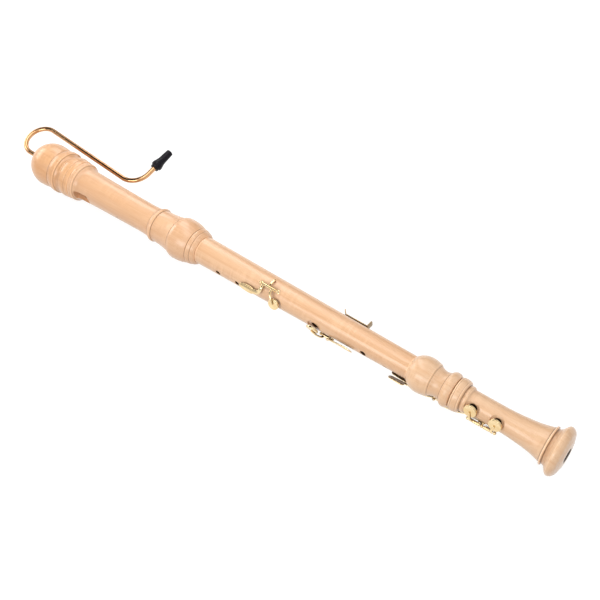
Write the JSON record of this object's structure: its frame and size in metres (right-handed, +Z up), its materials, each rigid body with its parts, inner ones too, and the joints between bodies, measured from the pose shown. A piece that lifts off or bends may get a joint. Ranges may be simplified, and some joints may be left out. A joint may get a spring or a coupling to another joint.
{
  "type": "bass recorder",
  "caption": "Bass recorder in three turned wooden joints with a domed cap, a bent blowing pipe and mouthpiece, hinged finger keys, rocking foot levers and a thumb rest.",
  "frame": {"origin": "under the middle of the whole instrument, on the surface it lies on", "axes": "+X along the axis toward the bell end, -Y toward the finger holes, +Z up"},
  "size_m": [1.0306, 0.1582, 0.0724],
  "materials": {
    "wood": "pale maple under satin lacquer",
    "block_wood": "bare red cedar",
    "cork": "greased cork",
    "pipe_brass": "polished and lacquered",
    "mouth_plastic": "satin black",
    "key_brass": "polished and lacquered",
    "steel": "bright drawn",
    "pad_skin": "soft skin over felt",
    "felt": "dense felt"
  },
  "bodies": {
    "middle": {"middle_joint": "wood", "lower_tenon_cork": "cork", "upper_tenon_cork": "cork", "thumb_rest": "key_brass", "thumb_rest_screw": "key_brass", "left_key_post_upper": "key_brass", "left_key_post_lower": "key_brass", "left_key_rod": "steel", "left_key_spring": "steel", "right_key_post_upper": "key_brass", "right_key_post_lower": "key_brass", "right_key_rod": "steel", "right_key_spring": "steel"},
    "head": {"head_joint": "wood", "fipple_block": "block_wood", "cap_tenon_cork": "cork"},
    "cap": {"cap": "wood", "pipe_cork": "cork"},
    "pipe": {"blowing_pipe": "pipe_brass"},
    "mouthpiece": {"mouthpiece": "mouth_plastic"},
    "left_key": {"left_key": "key_brass", "left_key_pad": "pad_skin", "left_key_heel_felt": "felt"},
    "right_key": {"right_key": "key_brass", "right_key_pad": "pad_skin", "right_key_heel_felt": "felt"},
    "foot": {"foot_joint": "wood", "foot_key_post_upper": "key_brass", "foot_key_post_middle": "key_brass", "foot_key_post_lower": "key_brass", "foot_key_rod": "steel", "foot_key_upper_spring": "steel", "foot_key_lower_spring": "steel", "lever_post_near": "key_brass", "lever_post_far": "key_brass", "lever_rod": "steel"},
    "foot_key_upper": {"foot_key_upper": "key_brass", "foot_key_upper_pad": "pad_skin"},
    "foot_key_lower": {"foot_key_lower": "key_brass", "foot_key_lower_pad": "pad_skin"},
    "lever_near": {"lever_near": "key_brass", "lever_near_felt": "felt"},
    "lever_far": {"lever_far": "key_brass", "lever_far_felt": "felt"}
  },
  "joints": [
    {"name": "foot_turn", "type": "hinge", "parent": "middle", "child": "foot", "pos_m": [0.29427, -0.04287, 0.0362], "axis": [1, 0, 0], "range_deg": [-30, 30]},
    {"name": "head_tuning_slide", "type": "slide", "parent": "middle", "child": "head", "axis": [-1, 0, 0], "range_m": [0, 0.012]},
    {"name": "cap_slide", "type": "slide", "parent": "head", "child": "cap", "axis": [-1, 0, 0], "range_m": [0, 0.035]},
    {"name": "pipe_turn", "type": "hinge", "parent": "cap", "child": "pipe", "pos_m": [-0.45473, -0.04287, 0.0362], "axis": [1, 0, 0], "range_deg": [-90, 90]},
    {"name": "mouthpiece_slide", "type": "slide", "parent": "pipe", "child": "mouthpiece", "axis": [0.0454, 0.9976, 0.0523], "range_m": [0, 0.012]},
    {"name": "left_key_turn", "type": "hinge", "parent": "middle", "child": "left_key", "pos_m": [0.0373, -0.05349, 0.05897], "axis": [1, 0, 0], "range_deg": [0, 10.5], "stiffness_Nm_per_rad": 0.03, "springref_deg": -20.05},
    {"name": "right_key_turn", "type": "hinge", "parent": "middle", "child": "right_key", "pos_m": [0.1409, -0.05825, 0.01787], "axis": [-1, 0, 0], "range_deg": [0, 12], "stiffness_Nm_per_rad": 0.03, "springref_deg": -20.05},
    {"name": "foot_key_upper_turn", "type": "hinge", "parent": "foot", "child": "foot_key_upper", "pos_m": [0.3904, -0.06377, 0.02941], "axis": [-1, 0, 0], "range_deg": [0, 15], "stiffness_Nm_per_rad": 0.03, "springref_deg": -20.05},
    {"name": "foot_key_lower_turn", "type": "hinge", "parent": "foot", "child": "foot_key_lower", "pos_m": [0.4108, -0.06377, 0.02941], "axis": [-1, 0, 0], "range_deg": [0, 15], "stiffness_Nm_per_rad": 0.03, "springref_deg": -20.05},
    {"name": "lever_near_rock", "type": "hinge", "parent": "foot", "child": "lever_near", "pos_m": [0.32327, -0.05385, 0.01554], "axis": [0, 0.8829, -0.4695], "range_deg": [0, 2.5]},
    {"name": "lever_far_rock", "type": "hinge", "parent": "foot", "child": "lever_far", "pos_m": [0.32327, -0.05385, 0.01554], "axis": [0, 0.8829, -0.4695], "range_deg": [0, 2.8]}
  ],
  "couplings": [
    {"joint": "foot_key_upper_turn", "follows": "lever_near_rock", "ratio": 6},
    {"joint": "foot_key_lower_turn", "follows": "lever_far_rock", "ratio": 5.3}
  ]
}
